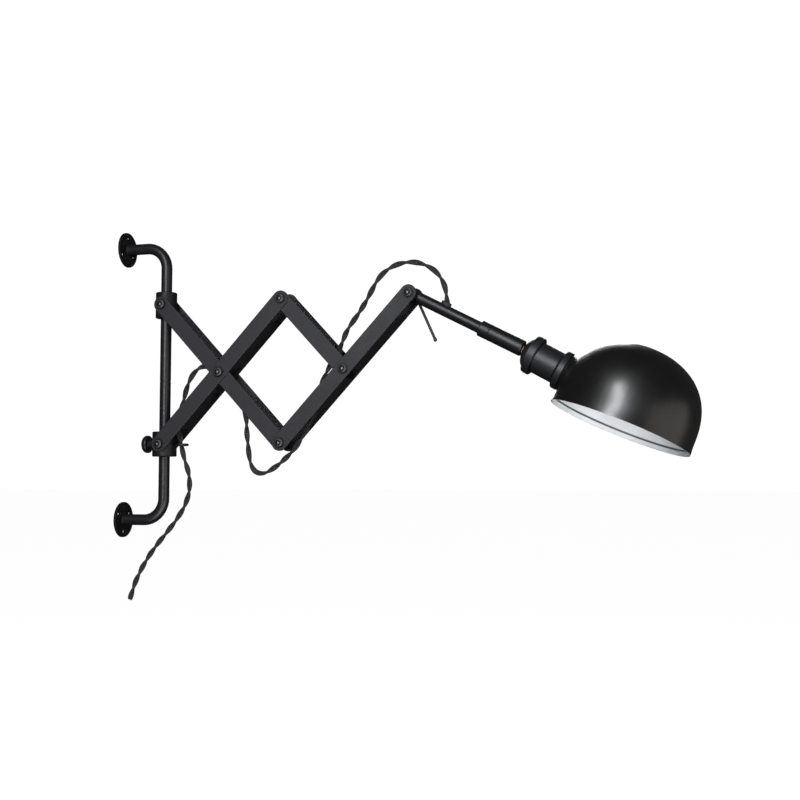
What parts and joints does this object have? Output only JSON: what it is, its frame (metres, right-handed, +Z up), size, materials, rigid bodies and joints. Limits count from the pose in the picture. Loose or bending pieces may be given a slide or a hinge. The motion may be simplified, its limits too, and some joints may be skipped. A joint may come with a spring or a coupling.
{
  "type": "accordion wall lamp",
  "caption": "Wall lamp with a folding lattice arm of pinned channels on an upright tube bracket, a tilting and swivelling head with a dome shade, and a twisted cloth cord.",
  "frame": {"origin": "on the wall plane, midway between the centres of the two wall flanges", "axes": "+X out from the wall, +Z up; the folding arm lies in the XZ plane at rest"},
  "size_m": [0.6561, 0.1527, 0.433],
  "materials": {
    "bracket_black": "satin black powder coat",
    "arm_black": "fine matt black powder coat",
    "screw_black": "black oxide",
    "steel_plain": "drawn steel",
    "nylon": "black nylon",
    "tube_black": "satin black",
    "brass": "plain brass",
    "holder_black": "satin black moulding",
    "porcelain": "glazed",
    "rubber_black": "soft black",
    "lead_sleeve": "sleeved cores",
    "shade_enamel": "satin black outside, white enamel inside",
    "cord_cloth": "braided black cloth over twisted cores"
  },
  "bodies": {
    "root": {"bracket_tube_upper": "bracket_black", "bracket_tube_lower": "bracket_black", "tube_joiner": "steel_plain", "wall_flange_upper": "bracket_black", "wall_flange_lower": "bracket_black"},
    "upper_collar": {"collar_upper": "bracket_black", "collar_grub_screw": "screw_black", "pivot_screws_upper": "screw_black", "pivot_washers_upper": "screw_black"},
    "arm_a": {"arm_a_channel": "arm_black", "cord_lower": "cord_cloth"},
    "arm_b": {"arm_b_channel": "arm_black", "pivot_bolts_b": "screw_black", "pivot_nuts_b": "screw_black", "pivot_washers_b": "screw_black", "slip_washers_b": "nylon"},
    "lower_collar": {"collar_lower": "bracket_black", "pivot_screws_lower": "screw_black", "pivot_washers_lower": "screw_black", "cord_ring": "bracket_black", "cord_tail": "cord_cloth"},
    "thumbscrew": {"thumbscrew_knob": "bracket_black", "thumbscrew_stud": "screw_black"},
    "arm_c": {"arm_c_channel": "arm_black"},
    "arm_d": {"arm_d_channel": "arm_black", "pivot_bolts_d": "screw_black", "pivot_nuts_d": "screw_black", "pivot_washers_d": "screw_black", "slip_washers_d": "nylon", "clamp_bolt": "screw_black", "clamp_washer": "screw_black", "cord_middle": "cord_cloth"},
    "lever": {"lever_hub": "screw_black", "lever_rod": "screw_black"},
    "head": {"knuckle": "tube_black", "head_tube": "tube_black", "cable_grommet": "rubber_black", "lead_in_tube": "lead_sleeve", "swivel_collar": "tube_black", "cord_head": "cord_cloth"},
    "swivel": {"swivel_stud": "brass", "swivel_sleeve": "tube_black", "nipple": "brass", "socket_cap": "holder_black", "socket_shell": "holder_black", "socket_ring": "holder_black", "shade_ring_outer": "holder_black", "shade_ring_inner": "holder_black", "socket_insulator": "porcelain", "screw_shell": "brass", "centre_contact": "brass", "lead_in_socket": "lead_sleeve", "shade": "shade_enamel"}
  },
  "joints": [
    {"name": "swing", "type": "hinge", "parent": "root", "child": "upper_collar", "pos_m": [0.053, 0, 0.0905], "axis": [0, 0, 1], "range_deg": [-80, 80]},
    {"name": "fold", "type": "hinge", "parent": "upper_collar", "child": "arm_a", "pos_m": [0.053, 0, 0.0905], "axis": [0, 1, 0], "range_deg": [-16, 23]},
    {"name": "arm_b_hinge", "type": "hinge", "parent": "arm_a", "child": "arm_b", "pos_m": [0.12746, 0, 0.00953], "axis": [0, 1, 0], "range_deg": [-46, 32], "deforming": ["cord_lower"]},
    {"name": "collar_hinge", "type": "hinge", "parent": "arm_b", "child": "lower_collar", "pos_m": [0.053, 0, -0.07144], "axis": [0, 1, 0], "range_deg": [-16, 23], "deforming": ["cord_tail"]},
    {"name": "arm_c_hinge", "type": "hinge", "parent": "arm_b", "child": "arm_c", "pos_m": [0.20191, 0, 0.0905], "axis": [0, 1, 0], "range_deg": [-32, 46]},
    {"name": "arm_d_hinge", "type": "hinge", "parent": "arm_a", "child": "arm_d", "pos_m": [0.20191, 0, -0.07144], "axis": [0, 1, 0], "range_deg": [-46, 32], "deforming": ["cord_middle"]},
    {"name": "tilt", "type": "hinge", "parent": "arm_d", "child": "head", "pos_m": [0.35082, 0, 0.0905], "axis": [0, 1, 0], "range_deg": [-80, 60], "deforming": ["cord_head"]},
    {"name": "lever_turn", "type": "hinge", "parent": "arm_d", "child": "lever", "pos_m": [0.35082, 0, 0.0905], "axis": [0, 1, 0], "range_deg": [-15, 100]},
    {"name": "swivel", "type": "hinge", "parent": "head", "child": "swivel", "pos_m": [0.43757, 0, 0.04534], "axis": [0.887, 0, -0.4617], "range_deg": [-164, 176]},
    {"name": "thumbscrew_turn", "type": "hinge", "parent": "lower_collar", "child": "thumbscrew", "pos_m": [0.037, 0, -0.07144], "axis": [-1, 0, 0], "range_deg": [0, 720]}
  ],
  "couplings": [
    {"joint": "arm_b_hinge", "follows": "fold", "ratio": -2},
    {"joint": "collar_hinge", "follows": "fold", "ratio": 1},
    {"joint": "arm_c_hinge", "follows": "fold", "ratio": 2},
    {"joint": "arm_d_hinge", "follows": "fold", "ratio": -2}
  ]
}
